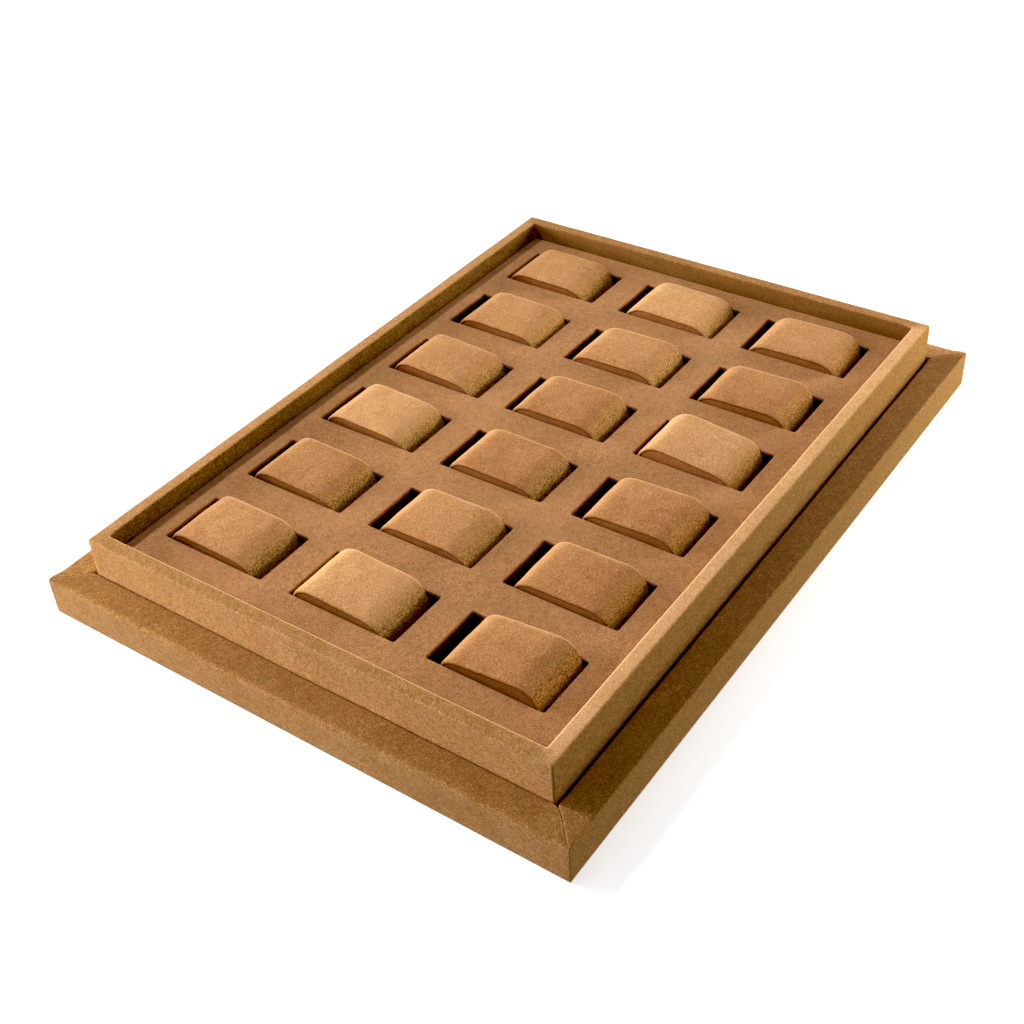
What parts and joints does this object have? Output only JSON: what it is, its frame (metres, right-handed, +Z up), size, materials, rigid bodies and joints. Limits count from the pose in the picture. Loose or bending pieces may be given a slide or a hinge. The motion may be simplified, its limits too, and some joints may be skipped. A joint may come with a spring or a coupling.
{
  "type": "watch tray",
  "caption": "Suede-wrapped watch tray: a rimmed tray with a sunken windowed deck and a loose lift-out pillow in each window, standing in a low mitred frame base.",
  "frame": {"origin": "middle of the underside, on the surface that the tray stands on", "axes": "+X along the tray's long side, towards its right end; +Y across it, along the strap direction, towards its back; +Z up"},
  "size_m": [0.4346, 0.3206, 0.045],
  "materials": {
    "suede": "tan faux suede, napped, matt",
    "deck_suede": "tan-brown faux suede, short nap, matt",
    "lining": "thin dark brown flocked lining",
    "fibreboard": "raw fibreboard",
    "hardboard": "smooth hardboard",
    "block_foam": "dark dense cut foam",
    "core_foam": "cream cushion foam"
  },
  "bodies": {
    "base": {"base_rail_front": "fibreboard", "base_rail_right": "fibreboard", "base_rail_back": "fibreboard", "base_rail_left": "fibreboard", "base_wrap_front": "suede", "base_wrap_right": "suede", "base_wrap_back": "suede", "base_wrap_left": "suede", "base_board": "hardboard", "base_lining": "lining", "base_underside_sheet": "lining"},
    "tray": {"tray_wall_front": "fibreboard", "tray_wall_right": "fibreboard", "tray_wall_back": "fibreboard", "tray_wall_left": "fibreboard", "tray_wrap": "suede", "tray_floor": "hardboard", "tray_lining": "lining", "pocket_block_row_1": "block_foam", "pocket_block_row_2": "block_foam", "pocket_block_row_3": "block_foam", "deck_cover": "deck_suede"},
    "pillow_11": {"pillow_cover_11": "suede", "pillow_core_11": "core_foam"},
    "pillow_12": {"pillow_cover_12": "suede", "pillow_core_12": "core_foam"},
    "pillow_13": {"pillow_cover_13": "suede", "pillow_core_13": "core_foam"},
    "pillow_14": {"pillow_cover_14": "suede", "pillow_core_14": "core_foam"},
    "pillow_15": {"pillow_cover_15": "suede", "pillow_core_15": "core_foam"},
    "pillow_16": {"pillow_cover_16": "suede", "pillow_core_16": "core_foam"},
    "pillow_21": {"pillow_cover_21": "suede", "pillow_core_21": "core_foam"},
    "pillow_22": {"pillow_cover_22": "suede", "pillow_core_22": "core_foam"},
    "pillow_23": {"pillow_cover_23": "suede", "pillow_core_23": "core_foam"},
    "pillow_24": {"pillow_cover_24": "suede", "pillow_core_24": "core_foam"},
    "pillow_25": {"pillow_cover_25": "suede", "pillow_core_25": "core_foam"},
    "pillow_26": {"pillow_cover_26": "suede", "pillow_core_26": "core_foam"},
    "pillow_31": {"pillow_cover_31": "suede", "pillow_core_31": "core_foam"},
    "pillow_32": {"pillow_cover_32": "suede", "pillow_core_32": "core_foam"},
    "pillow_33": {"pillow_cover_33": "suede", "pillow_core_33": "core_foam"},
    "pillow_34": {"pillow_cover_34": "suede", "pillow_core_34": "core_foam"},
    "pillow_35": {"pillow_cover_35": "suede", "pillow_core_35": "core_foam"},
    "pillow_36": {"pillow_cover_36": "suede", "pillow_core_36": "core_foam"}
  },
  "joints": [
    {"name": "tray_lift", "type": "slide", "parent": "base", "child": "tray", "axis": [0, 0, 1], "range_m": [0, 0.03]},
    {"name": "pillow_11_lift", "type": "slide", "parent": "tray", "child": "pillow_11", "axis": [0, 0, 1], "range_m": [0, 0.045]},
    {"name": "pillow_12_lift", "type": "slide", "parent": "tray", "child": "pillow_12", "axis": [0, 0, 1], "range_m": [0, 0.045]},
    {"name": "pillow_13_lift", "type": "slide", "parent": "tray", "child": "pillow_13", "axis": [0, 0, 1], "range_m": [0, 0.045]},
    {"name": "pillow_14_lift", "type": "slide", "parent": "tray", "child": "pillow_14", "axis": [0, 0, 1], "range_m": [0, 0.045]},
    {"name": "pillow_15_lift", "type": "slide", "parent": "tray", "child": "pillow_15", "axis": [0, 0, 1], "range_m": [0, 0.045]},
    {"name": "pillow_16_lift", "type": "slide", "parent": "tray", "child": "pillow_16", "axis": [0, 0, 1], "range_m": [0, 0.045]},
    {"name": "pillow_21_lift", "type": "slide", "parent": "tray", "child": "pillow_21", "axis": [0, 0, 1], "range_m": [0, 0.045]},
    {"name": "pillow_22_lift", "type": "slide", "parent": "tray", "child": "pillow_22", "axis": [0, 0, 1], "range_m": [0, 0.045]},
    {"name": "pillow_23_lift", "type": "slide", "parent": "tray", "child": "pillow_23", "axis": [0, 0, 1], "range_m": [0, 0.045]},
    {"name": "pillow_24_lift", "type": "slide", "parent": "tray", "child": "pillow_24", "axis": [0, 0, 1], "range_m": [0, 0.045]},
    {"name": "pillow_25_lift", "type": "slide", "parent": "tray", "child": "pillow_25", "axis": [0, 0, 1], "range_m": [0, 0.045]},
    {"name": "pillow_26_lift", "type": "slide", "parent": "tray", "child": "pillow_26", "axis": [0, 0, 1], "range_m": [0, 0.045]},
    {"name": "pillow_31_lift", "type": "slide", "parent": "tray", "child": "pillow_31", "axis": [0, 0, 1], "range_m": [0, 0.045]},
    {"name": "pillow_32_lift", "type": "slide", "parent": "tray", "child": "pillow_32", "axis": [0, 0, 1], "range_m": [0, 0.045]},
    {"name": "pillow_33_lift", "type": "slide", "parent": "tray", "child": "pillow_33", "axis": [0, 0, 1], "range_m": [0, 0.045]},
    {"name": "pillow_34_lift", "type": "slide", "parent": "tray", "child": "pillow_34", "axis": [0, 0, 1], "range_m": [0, 0.045]},
    {"name": "pillow_35_lift", "type": "slide", "parent": "tray", "child": "pillow_35", "axis": [0, 0, 1], "range_m": [0, 0.045]},
    {"name": "pillow_36_lift", "type": "slide", "parent": "tray", "child": "pillow_36", "axis": [0, 0, 1], "range_m": [0, 0.045]}
  ]
}
